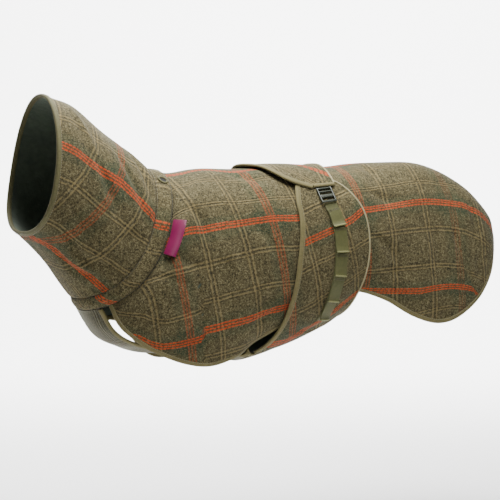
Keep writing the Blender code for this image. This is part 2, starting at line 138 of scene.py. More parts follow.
def hoop_point(row, angle):
    """Points at angles from the ridge round hoops given by their ridge, keel, width, bow and sag."""
    ridge, keel = row[..., 0:2], row[..., 2:4]
    half_width, bow, sag = row[..., 4], row[..., 5], row[..., 6]
    along = power(np.cos(angle))
    share = ((1 - along + sag * (1 - along**2)) / 2)[..., None]
    line = keel - ridge
    rearward = unit(np.stack([-line[..., 1], line[..., 0]], -1))
    spot = ridge + line * share + rearward * (bow * (1 - along**2))[..., None]
    return np.stack([spot[..., 0], half_width * power(np.sin(angle)), spot[..., 1] + FACE_DROP], -1)


def back_hoop_rows():
    rows = [(*NECK_HOOPS[-1], math.radians(BAND_HEM_ANGLE))]
    for ridge_x, ridge_z, hem_x, hem_z, hem_y, degrees, bow in BACK_HOOPS:
        angle = math.radians(degrees)
        along = float(power(np.cos(angle)))
        ridge, hem = np.array([ridge_x, ridge_z]), np.array([hem_x, hem_z])
        rearward = np.array([ridge_z - hem_z, hem_x - ridge_x]) / np.linalg.norm(hem - ridge)
        keel = ridge + (hem - rearward * bow * (1 - along**2) - ridge) * 2 / (1 - along)
        half_width = hem_y / float(power(np.sin(angle)))
        rows.append((ridge_x, ridge_z, *keel, half_width, bow, 0.0, angle))
    return np.array(rows)


NECK_ROWS = np.array(NECK_HOOPS)
BACK_ROWS = back_hoop_rows()
LAST_HOOP = len(BACK_ROWS) - 1
BELLY_ROWS = BACK_ROWS.copy()
BELLY_ROWS[: len(BELLY_KEEL), 2:4] = BELLY_KEEL


def neck(hoop, angle):
    return hoop_point(smooth(NECK_ROWS, hoop), np.asarray(angle, float))


def back(hoop, reach):
    row = smooth(BACK_ROWS, hoop)
    reach = np.asarray(reach, float)
    right = smooth(np.array(RIGHT_HEM, float)[:, None], hoop)[..., 0]
    return hoop_point(row, np.where(reach > 0, reach * right, reach) * row[..., 7])


def girth(hoop, angle):
    """A point round the whole body: angle in radians from the keel, negative on the left."""
    upper, lower = smooth(BACK_ROWS, hoop), smooth(BELLY_ROWS, hoop)
    around = math.pi - np.asarray(angle, float)
    point = hoop_point(upper, around)
    down = np.clip(-power(np.cos(around)), 0, 1)
    shift = lower[..., 2:4] - upper[..., 2:4]
    point[..., 0] += shift[..., 0] * down
    point[..., 2] += shift[..., 1] * down
    return point


def girth_arc(hoop, angle, steps=90):
    """Length round the body from the ridge, down the left side, under and up the right, to an angle."""
    share = np.linspace(0, 1, steps)[:, None, None]
    line = girth(hoop[None] + 0 * share, -math.pi + (angle[None] + math.pi) * share)
    return np.linalg.norm(np.diff(line, axis=0), axis=-1).sum(0)


def away_from_axis(grid):
    return (grid - [0.0, 0.0, AXIS_HEIGHT]) * [0, 1, 1]


def normals(grid, outward, ring=False):
    """Unit normals of a grid of points, turned to the side of the given rough direction."""
    if ring:
        grid = np.concatenate([grid[:, -1:], grid, grid[:, :1]], axis=1)
        outward = np.concatenate([outward[:, -1:], outward, outward[:, :1]], axis=1)
    n = np.cross(np.gradient(grid, axis=0), np.gradient(grid, axis=1))
    n /= np.linalg.norm(n, axis=-1, keepdims=True) + 1e-12
    n *= np.sign((n * outward).sum(-1, keepdims=True))
    return n[:, 1:-1] if ring else n


def arcs(grid, axis):
    """Running length along an axis of a grid of points."""
    step = np.linalg.norm(np.diff(grid, axis=axis), axis=-1)
    start = np.zeros_like(step[:1] if axis == 0 else step[:, :1])
    return np.concatenate([start, np.cumsum(step, axis)], axis)


# ---------------------------------------------------------------- meshes

def ease(value, low, high):
    t = np.clip((value - low) / (high - low), 0, 1)
    return t * t * (3 - 2 * t)


def mesh_object(name, points, faces, materials, uv=None, indices=None, smooth_angle=60):
    mesh = bpy.data.meshes.new(name)
    mesh.from_pydata(points.tolist(), [], faces)
    if uv is not None:
        layer = mesh.uv_layers.new(name="cloth")
        layer.data.foreach_set("uv", np.asarray(uv, np.float32).ravel())
    corners = points[[f[:3] for f in faces]]
    if np.linalg.det(corners - points.mean(0)).sum() < 0:
        mesh.flip_normals()
    for material in materials:
        mesh.materials.append(material)
    if indices is not None:
        mesh.polygons.foreach_set("material_index", np.asarray(indices, np.int32))
    mesh.shade_smooth()
    mesh.set_sharp_from_angle(angle=math.radians(smooth_angle))
    obj = bpy.data.objects.new(name, mesh)
    bpy.context.scene.collection.objects.link(obj)
    return obj


def shell(name, outer, inner, uv, materials, ring=False, inner_material=0):
    """A closed thin wall between two grids. uv has one column more than the grids on a ring."""
    rows, cols = outer.shape[:2]
    spans = cols if ring else cols - 1
    points = np.concatenate([outer.reshape(-1, 3), inner.reshape(-1, 3)])
    under = rows * cols
    i, j = np.meshgrid(np.arange(rows - 1), np.arange(spans), indexing="ij")
    i, j = i.ravel(), j.ravel()
    k = (j + 1) % cols
    a, b, c, d = i * cols + j, i * cols + k, (i + 1) * cols + k, (i + 1) * cols + j
    ua, ub, uc, ud = uv[i, j], uv[i, j + 1], uv[i + 1, j + 1], uv[i + 1, j]
    faces = [np.stack([a, b, c, d], 1), np.stack([a, d, c, b], 1) + under]
    texture = [np.stack([ua, ub, uc, ud], 1), np.stack([ua, ud, uc, ub], 1)]
    slots = [np.zeros(len(a)), np.full(len(a), inner_material)]
    i, j = np.arange(rows - 1), np.arange(spans)
    k = (j + 1) % cols
    rims = [(row * cols + j, row * cols + k, uv[row, j], uv[row, j + 1], turn)
            for row, turn in ((0, -1), (rows - 1, 1))]
    if not ring:
        rims += [(i * cols + col, (i + 1) * cols + col, uv[i, col], uv[i + 1, col], turn)
                 for col, turn in ((0, 1), (cols - 1, -1))]
    for p, q, up, uq, turn in rims:
        faces.append(np.stack([p, q, q + under, p + under], 1)[:, ::turn])
        texture.append(np.stack([up, uq, uq, up], 1)[:, ::turn])
        slots.append(np.zeros(len(p)))
    return mesh_object(name, points, np.concatenate(faces).tolist(), materials,
                       np.concatenate(texture).reshape(-1, 2), np.concatenate(slots))


def refine(line, count):
    """Evenly spaced points along a line, with its further columns."""
    along = np.concatenate([[0], np.cumsum(np.linalg.norm(np.diff(line[:, :3], axis=0), axis=1))])
    at = np.linspace(0, along[-1], count)
    return np.stack([np.interp(at, along, line[:, k]) for k in range(line.shape[1])], 1)


def sweep(name, line, normal, outward, section, material, closed=False, wave=None):
    """A tape of a given section (across, up) in metres, carried along a line beside a cloth edge."""
    if closed:
        tangent = unit(np.roll(line, -1, 0) - np.roll(line, 1, 0))
    else:
        tangent = unit(np.gradient(line, axis=0))
    side = unit(np.cross(tangent, normal))
    side *= np.sign((side * outward).sum(1, keepdims=True))
    up = np.cross(side, tangent)
    up *= np.sign((up * normal).sum(1, keepdims=True))
    section = np.asarray(section)
    scale = np.ones(len(line)) if wave is None else wave
    rings = line[:, None] + side[:, None] * (section[:, 0] * scale[:, None])[..., None] \
        + up[:, None] * (section[:, 1] * scale[:, None])[..., None]
    count, sides = rings.shape[:2]
    along = arcs(line[:, None], 0)[:, 0]
    around = np.linspace(0, 1, sides + 1) * np.abs(section).sum() / sides * 4
    spans = count if closed else count - 1
    i, k = np.meshgrid(np.arange(spans), np.arange(sides), indexing="ij")
    i, k = i.ravel(), k.ravel()
    n, m = (i + 1) % count, (k + 1) % sides
    faces = np.stack([i * sides + k, i * sides + m, n * sides + m, n * sides + k], 1)
    far = np.where(n == 0, along[-1] + 0.002, along[n])
    uv = np.stack([np.stack([along[i], around[k]], 1), np.stack([along[i], around[k + 1]], 1),
                   np.stack([far, around[k + 1]], 1), np.stack([far, around[k]], 1)], 1).reshape(-1, 2)
    faces = faces.tolist()
    if not closed:
        faces.append(list(range(sides))[::-1])
        faces.append([(count - 1) * sides + k for k in range(sides)])
        uv = np.vstack([uv, np.zeros((2 * sides, 2))])
    return mesh_object(name, rings.reshape(-1, 3), faces, [material], uv, smooth_angle=75)


def oval(width, height, centre=(0, 0), sides=14, square=0.8, lean=0.0):
    """A rounded section; lean lifts its outer side."""
    t = np.linspace(0, 2 * math.pi, sides + 1)[:-1]
    c = np.sign(np.cos(t)) * np.abs(np.cos(t)) ** square * width / 2
    s = np.sign(np.sin(t)) * np.abs(np.sin(t)) ** square * height / 2
    return np.stack([c + centre[0], s + centre[1] + c * lean], 1)


def stitches(name, line, normal, pitch, length, thick, lift, material, outward=None, offset=0.0):
    """A row of thread stitches along a line: small rounded bars."""
    side = unit(np.cross(unit(np.gradient(line, axis=0)), normal))
    if outward is not None:
        side *= np.sign((side * outward).sum(1, keepdims=True))
    path = np.hstack([line + side * offset, normal, side])
    total = arcs(path[:, None, :3], 0)[-1, 0]
    path = refine(path, max(int(total / pitch), 2) * 4 + 1)
    middle = path[2::4]
    ahead = unit(path[4::4][:, :3] - path[0:-1:4][:, :3])
    up, across = middle[:, 3:6], middle[:, 6:9]
    spots, faces = [], []
    ring = [(-0.5, 0.0), (0.0, 0.5), (0.5, 0.0), (0.0, -0.5)]
    for f, swell in ((-0.5, 0.35), (-0.25, 1.0), (0.25, 1.0), (0.5, 0.35)):
        for x, z in ring:
            spots.append(middle[:, :3] + ahead * (f * length) + across * (x * thick * swell)
                         + up * (lift + z * thick * swell))
    points = np.stack(spots, 1)
    for r in range(3):
        for k in range(4):
            faces.append((r * 4 + k, r * 4 + (k + 1) % 4, r * 4 + 4 + (k + 1) % 4, r * 4 + 4 + k))
    faces += [(3, 2, 1, 0), (12, 13, 14, 15)]
    faces = (np.array(faces)[None] + 16 * np.arange(len(points))[:, None, None]).reshape(-1, 4)
    return mesh_object(name, points.reshape(-1, 3), faces.tolist(), [material])


def folds(s, t, rows):
    """Height of soft folds, a table row for each. A fold fades at its ends, grows wider
    along its length and stands a little proud on both flanks."""
    height = np.zeros_like(s)
    for *points, depth, width in np.array(rows) / 1000:
        points = np.reshape(points, (3, 2))
        piece = np.linalg.norm(np.diff(points, axis=0), axis=1)
        start = np.concatenate([[0], np.cumsum(piece)])
        nearest = np.full(s.shape, 1e9)
        place = np.zeros_like(s)
        for p, q, length, before in zip(points[:-1], points[1:], piece, start):
            d = (q - p) / length
            along = np.clip((s - p[0]) * d[0] + (t - p[1]) * d[1], 0, length)
            gap = np.hypot(s - p[0] - along * d[0], t - p[1] - along * d[1])
            closer = gap < nearest
            nearest = np.where(closer, gap, nearest)
            place = np.where(closer, (before + along) / start[-1], place)
        q = nearest / (width * (0.75 + 0.5 * place))
        fade = np.clip(np.sin(math.pi * (0.06 + 0.88 * place)), 0, 1) ** 0.8
        height += depth * fade * (1 - 0.9 * q * q) * np.exp(-q * q)
    return height


def swell(s, t, size, seed):
    """A slow, uneven swell of the cloth, within plus and minus size."""
    rng = np.random.default_rng(seed)
    height = np.zeros_like(s)
    for _ in range(7):
        turn, wave, phase = rng.uniform(0, math.pi), rng.uniform(35, 95), rng.uniform(0, 6.28)
        height += np.sin((s * math.cos(turn) + t * math.sin(turn)) * wave + phase)
    return height * size / 4


# ---------------------------------------------------------------- materials

class Nodes:
    """Short names for building a material's node tree."""

    def __init__(self, name):
        self.material = bpy.data.materials.new(name)
        self.material.use_nodes = True
        self.tree = self.material.node_tree
        self.shader = self.tree.nodes["Principled BSDF"]

    def put(self, socket, value):
        if isinstance(value, bpy.types.NodeSocket):
            self.tree.links.new(value, socket)
        elif isinstance(value, tuple) and len(value) == 3 and socket.type == "RGBA":
            socket.default_value = (*value, 1.0)
        else:
            socket.default_value = value

    def fill(self, node, values):
        for key, value in values.items():
            self.put(node.inputs[key], value)

    def node(self, kind, **settings):
        made = self.tree.nodes.new(kind)
        for key, value in settings.items():
            setattr(made, key, value)
        return made

    def math(self, operation, a, b=0.0, c=0.0):
        made = self.node("ShaderNodeMath", operation=operation)
        for socket, value in zip(made.inputs, (a, b, c)):
            self.put(socket, value)
        return made.outputs[0]

    def times(self, a, b):
        return self.math("MULTIPLY", a, b)

    def line(self, a, b, c):
        """a times b, plus c."""
        return self.math("MULTIPLY_ADD", a, b, c)

    def mix(self, share, a, b, blend="MIX"):
        made = self.node("ShaderNodeMix", data_type="RGBA", blend_type=blend, clamp_factor=True)
        for key, value in ((0, share), (6, a), (7, b)):
            self.put(made.inputs[key], value)
        return made.outputs[2]

    def ramp(self, value, low, high):
        made = self.node("ShaderNodeMapRange", interpolation_type="SMOOTHSTEP")
        for socket, given in zip(made.inputs, (value, low, high, 0.0, 1.0)):
            self.put(socket, given)
        return made.outputs[0]

    def noise(self, vector, scale, detail=2.0, roughness=0.5):
        made = self.node("ShaderNodeTexNoise")
        self.fill(made, {"Vector": vector, "Scale": scale, "Detail": detail, "Roughness": roughness})
        return made.outputs["Fac"]

    def place(self):
        return self.node("ShaderNodeTexCoord").outputs["Object"]

    def uv(self):
        split = self.node("ShaderNodeSeparateXYZ")
        self.put(split.inputs[0], self.node("ShaderNodeUVMap", uv_map="cloth").outputs[0])
        return split.outputs[0], split.outputs[1]

    def bump(self, height, distance, strength):
        made = self.node("ShaderNodeBump")
        self.fill(made, {"Height": height, "Distance": distance, "Strength": strength})
        return made.outputs[0]

    def finish(self, colour, roughness, normal=None, sheen=0.0, tint=(1, 1, 1), specular=0.5):
        self.fill(self.shader, {
            "Base Color": colour, "Roughness": roughness, "Metallic": 0.0, "Specular IOR Level": specular,
            "Sheen Weight": sheen, "Sheen Roughness": 0.55, "Sheen Tint": tint})
        if normal is not None:
            self.put(self.shader.inputs["Normal"], normal)
        return self.material


def srgb(r, g, b, gain=1.0):
    """Linear colour of an 8-bit display colour."""
    values = []
    for c in (r, g, b):
        c /= 255
        values.append(gain * (c / 12.92 if c <= 0.04045 else ((c + 0.055) / 1.055) ** 2.4))
    return tuple(values)


def tweed_material(name, strength=1.0, gain=1.0, sheen=0.25):
    """Napped tweed fleece with its plaid. The cloth UV counts repeats of the plaid: orange triples at 0,
    tan doubles at 0.3 and 0.7, green flecks beside the orange."""
    n = Nodes(name)
    u, v = n.uv()
    place = n.place()
    fine = n.noise(place, 680, 1.5, 0.6)
    grain = n.noise(place, 330, 2.0, 0.6)
    coarse = n.noise(place, 170, 2.0, 0.55)
    cloud = n.noise(place, 30, 3.0, 0.5)
    jitter = n.line(coarse, 0.012, -0.006)
    uj = n.math("ADD", u, jitter)
    vj = n.math("SUBTRACT", v, jitter)

    def away(coordinate, centre):
        shifted = n.math("SUBTRACT", coordinate, centre - 0.5)
        return n.math("SUBTRACT", n.math("FRACT", shifted), 0.5)

    def stripe(coordinate, centre, half, soft=0.004):
        return n.ramp(n.math("ABSOLUTE", away(coordinate, centre)), half + soft, half - soft)

    def dashes(along, across, count, slant):
        run = n.math("FRACT", n.line(across, slant, n.times(along, count)))
        return n.times(n.ramp(run, 0.02, 0.22), n.ramp(run, 0.98, 0.72))

    light = srgb(160, 149, 110, gain)
    middle = srgb(112, 102, 68, gain)
    dark = srgb(50, 46, 27, gain)
    speckle = n.line(fine, 0.5, n.line(grain, 0.4, n.times(coarse, 0.1)))
    colour = n.mix(n.ramp(speckle, 0.38, 0.51), dark, middle)
    colour = n.mix(n.ramp(speckle, 0.50, 0.63), colour, light)

    green = srgb(40, 74, 52, gain)
    beside = []
    for coordinate, share in ((uj, 0.8), (vj, 1.0)):
        gap = n.math("ABSOLUTE", away(coordinate, 0.0))
        band = n.times(n.ramp(gap, 0.150, 0.085), n.ramp(gap, 0.020, 0.048))
        beside.append(n.times(band, share))
    crossing = n.times(*(n.ramp(n.math("ABSOLUTE", away(way, 0.0)), 0.20, 0.10) for way in (u, v)))
    share = n.line(n.math("MAXIMUM", *beside), 0.22, n.times(crossing, 0.22))
    flecks = n.ramp(n.noise(place, 620, 1.0, 0.5), 0.40, 0.60)
    share = n.times(share, n.line(flecks, 1.35, 0.40))
    colour = n.mix(n.times(share, strength), colour, green)

    tan = srgb(170, 150, 100, gain)
    groove = srgb(48, 43, 26, gain)
    rough = n.ramp(grain, 0.26, 0.52)
    pressed = None
    for coordinate, share in ((vj, 0.85), (uj, 0.75)):
        for centre in (0.3, 0.7):
            inner = stripe(coordinate, centre, 0.0060, 0.006)
            outer, shadow = (
                n.math("MAXIMUM", *(stripe(coordinate, centre + side * gap, half, soft) for side in (-1, 1)))
                for gap, half, soft in ((0.0200, 0.0065, 0.005), (0.0370, 0.0060, 0.008)))
            colour = n.mix(n.times(inner, 0.60 * share * strength), colour, groove)
            colour = n.mix(n.times(shadow, 0.42 * share * strength), colour, groove)
            colour = n.mix(n.times(n.times(outer, share * 0.85 * strength), rough), colour, tan)
            dip = n.line(shadow, 0.5, inner)
            pressed = dip if pressed is None else n.math("MAXIMUM", pressed, dip)

    orange = srgb(255, 92, 34, gain * 1.05)
    rust = srgb(120, 66, 34, gain)
    for coordinate, along, across, share in ((uj, v, u, 0.32), (vj, u, v, 1.0)):
        lines = None
        for centre, turn in ((-0.0300, 7.0), (0.0, -7.0), (0.0300, 7.0)):
            line = stripe(coordinate, centre, 0.0062, 0.0040)
            line = n.times(line, n.line(dashes(along, across, 27.0, turn), 0.85, 0.15))
            lines = line if lines is None else n.math("MAXIMUM", lines, line)
        wash = stripe(coordinate, 0.0, 0.034, 0.008)
        if along is v:
            share = n.line(n.ramp(u, 2.75, 2.50), share * 0.72, share * 0.28)
        share = n.times(share, strength)
        worn = n.times(n.ramp(grain, 0.24, 0.50), share)
        colour = n.mix(n.times(n.times(wash, 0.40), share), colour, rust)
        colour = n.mix(n.times(lines, worn), colour, orange)

    shade = n.line(cloud, 0.36, 0.82)
    grey = n.node("ShaderNodeCombineXYZ")
    for socket in grey.inputs:
        n.put(socket, shade)
    colour = n.mix(1.0, colour, grey.outputs[0], "MULTIPLY")
    height = n.line(pressed, -0.8, n.line(fine, 0.35, n.times(grain, 0.75)))
    normal = n.bump(height, 0.0009, 0.7)
    return n.finish(colour, 0.93, normal, sheen, (0.85, 0.84, 0.66), specular=0.16)


def fleece_material(name, low, high):
    n = Nodes(name)
    place = n.place()
    nap = n.noise(place, 140, 3.0, 0.6)
    cloud = n.noise(place, 24, 2.0, 0.5)
    share = n.line(cloud, 0.7, n.line(nap, 0.7, -0.2))
    colour = n.mix(share, low, high)
    normal = n.bump(nap, 0.0011, 0.6)
    return n.finish(colour, 0.95, normal, 0.35, (0.75, 0.85, 0.72), specular=0.15)


def tape_material(name, colour_low, colour_high, ribs=900.0, roughness=0.75, sheen=0.04):
    """Folded tape or webbing; its UV is in metres along and across."""
    n = Nodes(name)
    u, v = n.uv()
    place = n.place()
    weave = n.math("SINE", n.times(u, ribs * 6.28))
    across = n.math("SINE", n.times(v, ribs * 0.8 * 6.28))
    cloth = n.line(weave, 0.25, n.line(across, 0.25, 0.5))
    mottle = n.noise(place, 320, 2.0, 0.6)
    share = n.line(mottle, 0.8, n.line(cloth, 0.4, -0.1))
    colour = n.mix(share, colour_low, colour_high)
    height = n.line(cloth, 0.8, n.times(mottle, 0.5))
    return n.finish(colour, roughness, n.bump(height, 0.00035, 0.6), sheen, (0.9, 0.88, 0.70), specular=0.18)


def plain_material(name, colour, roughness, sheen=0.0, bump=0.0, scale=900):
    n = Nodes(name)
    normal = n.bump(n.noise(n.place(), scale, 2.0), bump, 0.6) if bump else None
    return n.finish(colour, roughness, normal, sheen)


tweed = tweed_material("tweed", 1.0, 0.36, 0.06)
band_tweed = tweed_material("band_tweed", 0.9, 0.40, 0.06)
# Painted shade: the chest strap's tweed is the shell cloth in a much darker colour, standing in for the shade
# under the chest; its fainter plaid is the cloth's own.
shaded_strap_tweed = tweed_material("shaded_strap_tweed", 0.35, 0.15, 0.35)
lining_fleece = fleece_material("lining_fleece", srgb(26, 33, 27), srgb(58, 66, 52))
inner_fleece = fleece_material("inner_fleece", srgb(40, 44, 34), srgb(78, 80, 60))
binding = tape_material("binding", srgb(72, 67, 41), srgb(106, 98, 64))
mouth_tape = tape_material("mouth_tape", srgb(60, 58, 36), srgb(90, 86, 56))
# Painted highlight: the loop lips are the webbing in a lighter colour, for the light caught on each turned
# edge.
lip_highlight_cloth = tape_material("lip_highlight_cloth", srgb(92, 92, 56), srgb(126, 125, 82), 620.0, 0.5, 0.1)
# Painted highlight: the rear piping is a lighter copy of the tape colour, for the light line where the belt's
# rolled rear edge catches the light.
piping_highlight_tape = tape_material("piping_highlight_tape", srgb(104, 98, 70), srgb(146, 138, 106))
webbing_cloth = tape_material("webbing_cloth", srgb(54, 55, 28), srgb(80, 80, 44), 620.0, 0.55, 0.1)
thread = plain_material("thread", srgb(104, 96, 70), 0.6, 0.2)
dark_thread = plain_material("dark_thread", srgb(66, 60, 42), 0.7, 0.2)
hook_plastic = plain_material("hook_plastic", srgb(30, 35, 21), 0.38, bump=0.00004)
label_cloth = plain_material("label_cloth", srgb(98, 0, 54), 0.35, 0.0, 0.00012, 1600)
# Painted shade: a near-black fill for the shade inside the leash hole.
hole_shade_dark = plain_material("hole_shade_dark", srgb(18, 18, 13), 0.95)


def add(obj, slot, *nodes):
    """Rides on the one body and stands for its CAD nodes; its slot is not used."""
    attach(obj, "root")
    if nodes:
        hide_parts(*nodes)
    return obj


def bound_edge(names, node, line, normal, outward, section, material, lift, offset, **sweeping):
    """A tape folded over a cloth edge, and its row of stitches."""
    tape = add(sweep(names[0], line, normal, outward, section, material, **sweeping), "binding_tape", node)
    row = stitches(names[1], line, normal, *STITCH, lift, thread, outward, offset)
    return [tape, add(row, "binding_tape")]


def lines_at(place, t, places, columns, marks):
    """The plaid's count at t, where columns give t in millimetres at each mark for a row of places."""
    knots = np.stack([np.interp(place, places, column) for column in columns], -1) / 1000
    value = marks[0] + (t - knots[..., 0]) * (marks[1] - marks[0]) / (knots[..., 1] - knots[..., 0])
    for j in range(1, len(marks) - 1):
        rate = (marks[j + 1] - marks[j]) / (knots[..., j + 1] - knots[..., j])
        value = np.where(t > knots[..., j], marks[j] + (t - knots[..., j]) * rate, value)
    return value


REPEAT_LONG = 0.167
REPEAT_ROUND = 0.146
STITCH = (0.0034, 0.0024, 0.0006)
BACK_FOLD_GAIN, COLLAR_FOLD_GAIN, WING_FOLD_GAIN = 2.4, 2.6, 1.6
BACK_SWELL, COLLAR_SWELL, WING_SWELL = 0.0018, 0.0020, 0.0011
SEAM_DIP = 0.0018

# ---------------------------------------------------------------- back panel

# A stripe table's rows are the counts of STRIPE_MARKS; its columns are the stations.
# Where the lengthwise stripes cross, in millimetres from the ridge down the left side, for stations along x.
BACK_PLACES = (-0.20, -0.16, -0.12, -0.08, -0.036, 0.018, 0.155, 0.24, 0.30, 0.35, 0.37)
BACK_STRIPES = (
    (108, 107, 105, 98, 99, 98, 87, 71, 62, 52, 45),
    (146, 143, 141, 132, 129, 130, 120, 104, 95, 84, 78),
    (214, 208, 195, 183, 176, 176, 160, 147, 137, 128, 124),
    (282, 266, 248, 237, 231, 226, 215, 204, 194, 182, 178),
    (320, 306, 290, 281, 276, 262, 246, 240, 225, 213, 209),
)
STRIPE_MARKS = (-0.3, 0.0, 0.3, 0.7, 1.0)
CROSS_SLANT_PLACES = (-0.12, 0.02, 0.14, 0.20)
CROSS_SLANT = (0.062, 0.060, 0.026, 0.022)
CROSS_START = -0.036
# The darts' lines: lengths from the ridge, and x at each.
SHOULDER_DART = ((0.232, 0.262, 0.330), (-0.127, -0.123, -0.118))
RUMP_DART = ((0.142, 0.170, 0.192, 0.222), (0.306, 0.314, 0.324, 0.343))
SHOULDER_SHIFT = 0.082
RUMP_SHIFT = 0.075


def back_plaid(x, t):
    """Plaid counts on the panel: t is metres from the ridge, negative down the left side."""
    depth = np.abs(t)
    slant = np.interp(x, CROSS_SLANT_PLACES, CROSS_SLANT)
    u = 1 + (x - slant * depth / 0.30 - CROSS_START) / REPEAT_LONG
    left = lines_at(x, depth, BACK_PLACES, BACK_STRIPES, STRIPE_MARKS)
    ridge = lines_at(x, 0 * depth, BACK_PLACES, BACK_STRIPES, STRIPE_MARKS)
    v = np.where(t <= 0, left, ridge - depth / REPEAT_ROUND)
    # the plaid steps where a dart has taken cloth out
    drop = ease(depth, 0.225, 0.236) * (1 - ease(-x, 0.175, 0.215))
    front = 1 - ease(x - np.interp(depth, *SHOULDER_DART), -0.0006, 0.0006)
    rear = ease(depth, 0.150, 0.165) * ease(x - np.interp(depth, *RUMP_DART), -0.0006, 0.0006)
    return u, v - np.where(t < 0, SHOULDER_SHIFT * drop * front + RUMP_SHIFT * rear, 0)


# A fold's row, in millimetres: three points as (first, second) places, then its height and half width.
# Folds on the panel lie at x and the length from the ridge, negative on the left side.
BACK_FOLDS = (
    (-166, -132, -172, -175, -180, -205, -1.2, 10),
    (-178, -165, -150, -190, -122, -200, -1.6, 9),
    (-198, -205, -165, -222, -138, -226, -1.1, 8),
    (-140, -100, -118, -128, -112, -165, -1.2, 11),
    (-100, -150, -75, -185, -62, -225, 1.1, 12),
    (-30, -140, -10, -175, 10, -226, -1.5, 10),
    (18, -222, -4, -246, -35, -262, -1.6, 8),
    (14, -246, -12, -276, -42, -290, -1.2, 8),
    (-62, -262, -95, -282, -128, -283, -1, 10),
    (-50, -40, -10, -62, 30, -60, -1, 12),
    (-120, -30, -128, -75, -142, -110, -1, 10),
    (158, -90, 190, -104, 222, -98, -1.2, 11),
    (156, -160, 184, -176, 205, -200, -1.5, 10),
    (165, -205, 205, -215, 250, -206, -1, 11),
    (262, -140, 272, -175, 268, -214, -1.2, 13),
    (340, -75, 346, -110, 336, -135, -1.2, 10),
    (352, -150, 345, -176, 352, -196, -1, 8),
    (172, -20, 180, -55, 172, -85, -0.9, 11),
    (-150, 120, -160, 168, -170, 215, -1.4, 10),
    (-180, 180, -145, 212, -112, 218, -1.4, 10),
    (-110, 110, -88, 150, -80, 200, 1.1, 12),
    (-46, 150, -18, 190, 0, 240, -1.4, 11),
    (14, 214, -16, 252, -50, 272, -1.4, 9),
    (-72, 240, -100, 272, -136, 286, -1, 10),
    (160, 110, 195, 122, 230, 110, -1.2, 12),
    (158, 168, 190, 192, 214, 212, -1.3, 10),
    (255, 120, 270, 165, 262, 206, -1.1, 13),
    (336, 90, 344, 124, 332, 150, -1.1, 10),
)
DART_FOLDS = (
    (-127, -226, -123, -262, -118, -335, -2.6, 3.5),
    (-127, -238, -127, -228, -129, -216, -4.2, 5.5),
    (305.5, -133, 307, -146, 312, -168, -5, 6),
    (309, -155, 320, -186, 345, -226, -1.6, 3.5),
    (300, -150, 296, -166, 288, -182, -1.2, 6),
    (-123, 226, -121, 262, -116, 335, -1.6, 3.5),
    (305.5, 133, 307, 146, 312, 168, -3, 5.5),
    (309, 155, 320, 186, 345, 226, -1.6, 3.5),
)


def back_grid(rows, cols):
    hoop, reach = np.meshgrid(np.linspace(0, LAST_HOOP, rows), np.linspace(-1, 1, cols), indexing="ij")
    grid = back(hoop, reach)
    around = arcs(grid, 1)
    t = around - around[:, cols // 2][:, None]
    return grid, normals(grid, away_from_axis(grid)), t, hoop, reach


def back_relief(x, t, reach, hoop):
    """Height of the panel's folds; it fades out at the hem, the seam and under the belt."""
    height = BACK_FOLD_GAIN * folds(x, t, BACK_FOLDS) + swell(x, t, BACK_SWELL, 5)
    under_belt = ease(x, -0.02, 0.02) * (1 - ease(x, 0.13, 0.16))
    edge = ease(1 - np.abs(reach), 0.0, 0.06) * ease(hoop, 0.0, 0.5) * ease(LAST_HOOP - hoop, 0.0, 0.5)
    seam_dip = SEAM_DIP * np.exp(-((hoop / 0.10) ** 2))
    soft = np.clip(height, -0.0060, 0.0026) * (1 - 0.85 * under_belt)
    return (soft + folds(x, t, DART_FOLDS)) * edge - seam_dip


def make_back():
    grid, normal, t, hoop, reach = back_grid(221, 181)
    relief = back_relief(grid[..., 0], t, reach, hoop)[..., None]
    u, v = back_plaid(grid[..., 0], t)
    outer = grid + normal * relief
    cloth = shell("back_panel_cloth", outer, outer - normal * TWEED, np.stack([u, v], -1), [tweed])
    add(cloth, "tweed", "back_panel")
    low, low_normal, low_t, low_hoop, low_reach = back_grid(111, 91)
    low_relief = back_relief(low[..., 0], low_t, low_reach, low_hoop)[..., None]
    top = low + low_normal * (low_relief - TWEED - GAP)
    lining = shell("back_panel_lining_cloth", top, top - low_normal * LINING,
                   np.stack([low[..., 0], low_t], -1), [lining_fleece])
    add(lining, "fleece_lining", "back_panel_lining")
    rows, cols = grid.shape[:2]
    path = [(i, 0) for i in range(rows - 1)] + [(rows - 1, j) for j in range(cols)]
    path += [(i, cols - 1) for i in range(rows - 2, -1, -1)]
    line = np.array([grid[i, j] for i, j in path])
    lift = np.array([normal[i, j] for i, j in path])
    inside = np.array([grid[min(i, rows - 3), min(max(j, 2), cols - 3)] for i, j in path])
    outward = line - inside
    data = refine(np.hstack([line, lift, outward]), 620)
    line, lift, outward = data[:, :3], unit(data[:, 3:6]), data[:, 6:9]
    wave = 1 + 0.05 * np.sin(np.linspace(0, 150, len(line))) * np.sin(np.linspace(0, 47, len(line)))
    section = oval(0.0082, 0.0050, (0.0034, -FACE_DROP / 2 - 0.0004), 14, 0.78, -0.10)
    hem = bound_edge(("back_panel_hem_tape", "back_panel_hem_stitches"), "back_panel_binding", line, lift,
                     outward, section, binding, 0.0007, 0.0008, wave=wave)


# ---------------------------------------------------------------- collar and casing band

COLLAR_PLACES = (0.0, 0.4, 1.4, 2.4, 3.2, 4.0, 5.0)
COLLAR_STRIPES = (
    (75, 74, 72, 60, 52, 52, 58),
    (121, 120, 118, 107, 110, 117, 124),
    (170, 169, 164, 159, 156, 153, 152),
    (234, 232, 228, 216, 210, 206, 204),
    (296, 290, 268, 255, 250, 249, 250),
)
COLLAR_CROSS_ROUND = (0.0, 0.037, 0.087, 0.140, 0.201, 0.260, 0.310)
COLLAR_CROSS = (0.130, 0.128, 0.121, 0.098, 0.062, 0.028, 0.008)

